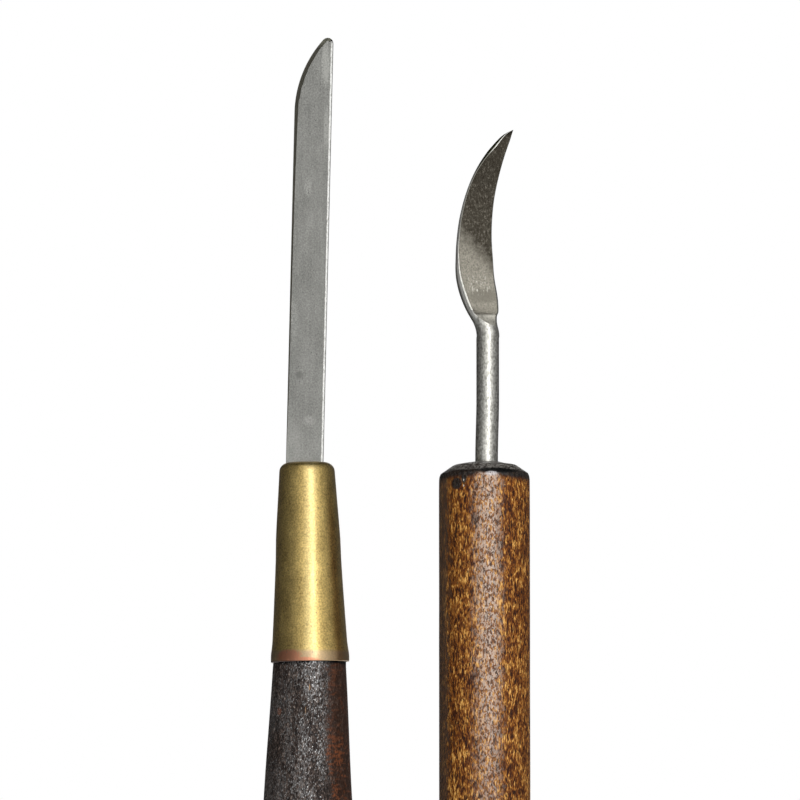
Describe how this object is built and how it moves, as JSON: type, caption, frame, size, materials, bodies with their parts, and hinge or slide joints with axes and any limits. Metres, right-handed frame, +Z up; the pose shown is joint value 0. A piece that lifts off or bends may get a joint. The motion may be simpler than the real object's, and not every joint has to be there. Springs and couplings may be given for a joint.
{
  "type": "pottery clean-up tools",
  "caption": "Hand tools for trimming clay ware: a straight knife in a tapered brass ferrule, and a curved blade ground on a round rod, in turned wooden handles.",
  "frame": {"origin": "on the surface that the butt ends stand on, midway between the two handles' axes", "axes": "+Z up along the tools from butt to blade, -Y towards the flats of the blades, +X from the straight knife to the curved blade"},
  "size_m": [0.0372, 0.0126, 0.1865],
  "materials": {
    "knife_steel": "satin ground strip steel with fine specks, bright along the ground edge",
    "ferrule_brass": "satin drawn brass, lightly tarnished",
    "dark_stained_wood": "turned hardwood under a near-black stain, satin",
    "hook_steel": "bright rod with a coarsely ground, partly darkened face",
    "brown_stained_wood": "turned hardwood dowel under a mottled brown stain, satin, black at its crown"
  },
  "bodies": {
    "root": {"knife_blade": "knife_steel", "knife_ferrule": "ferrule_brass", "knife_handle": "dark_stained_wood", "hook_blade": "hook_steel", "hook_handle": "brown_stained_wood"}
  },
  "joints": []
}
